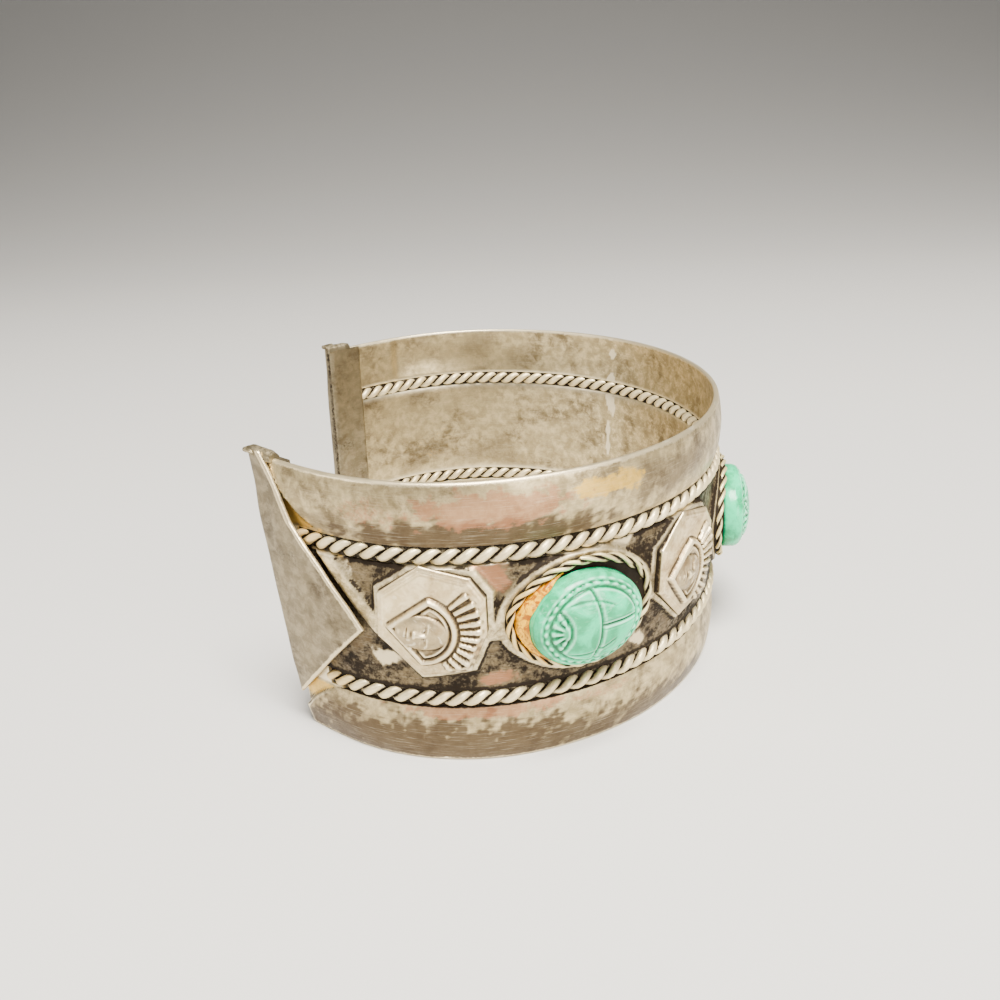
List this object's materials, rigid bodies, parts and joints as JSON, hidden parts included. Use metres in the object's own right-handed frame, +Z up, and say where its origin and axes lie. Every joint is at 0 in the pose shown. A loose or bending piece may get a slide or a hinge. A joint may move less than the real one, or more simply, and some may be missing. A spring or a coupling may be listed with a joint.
{
  "type": "scarab cuff bracelet",
  "caption": "Open silver cuff bracelet with domed rails, two twisted wires and a row of cast mask plaques and green carved scarab stones.",
  "frame": {"origin": "on the floor, in the middle of the wrist opening, in the plane of the lower rim", "axes": "+Z up out of the wrist opening; the gap between the ends faces -X and the middle of the band +X; the side that shows best faces -Y"},
  "size_m": [0.0563, 0.0708, 0.0318],
  "materials": {
    "sheet_silver": "worn satin sheet silver with brown and copper tarnish",
    "twisted_wire": "pale twisted silver wire, dark in its valleys",
    "folded_cap": "worn grey satin sheet, bright along its edges",
    "cast_silver": "warm cast silver, dark in its lines",
    "bezel_silver": "cream silver wire with dark hollows",
    "green_stone": "glossy jade green carving, paler on its ridges",
    "glue": "glossy amber glue"
  },
  "bodies": {
    "root": {"band": "sheet_silver", "end_cap_far": "folded_cap", "end_cap_near": "folded_cap", "glue_1": "glue", "lower_rope": "twisted_wire", "mask_plaque_1": "cast_silver", "mask_plaque_2": "cast_silver", "mask_plaque_3": "cast_silver", "mask_plaque_4": "cast_silver", "scarab_1": "green_stone", "scarab_2": "green_stone", "scarab_3": "green_stone", "scarab_4": "green_stone", "scarab_setting_1": "bezel_silver", "scarab_setting_2": "bezel_silver", "scarab_setting_3": "bezel_silver", "scarab_setting_4": "bezel_silver", "upper_rope": "twisted_wire"}
  },
  "joints": []
}
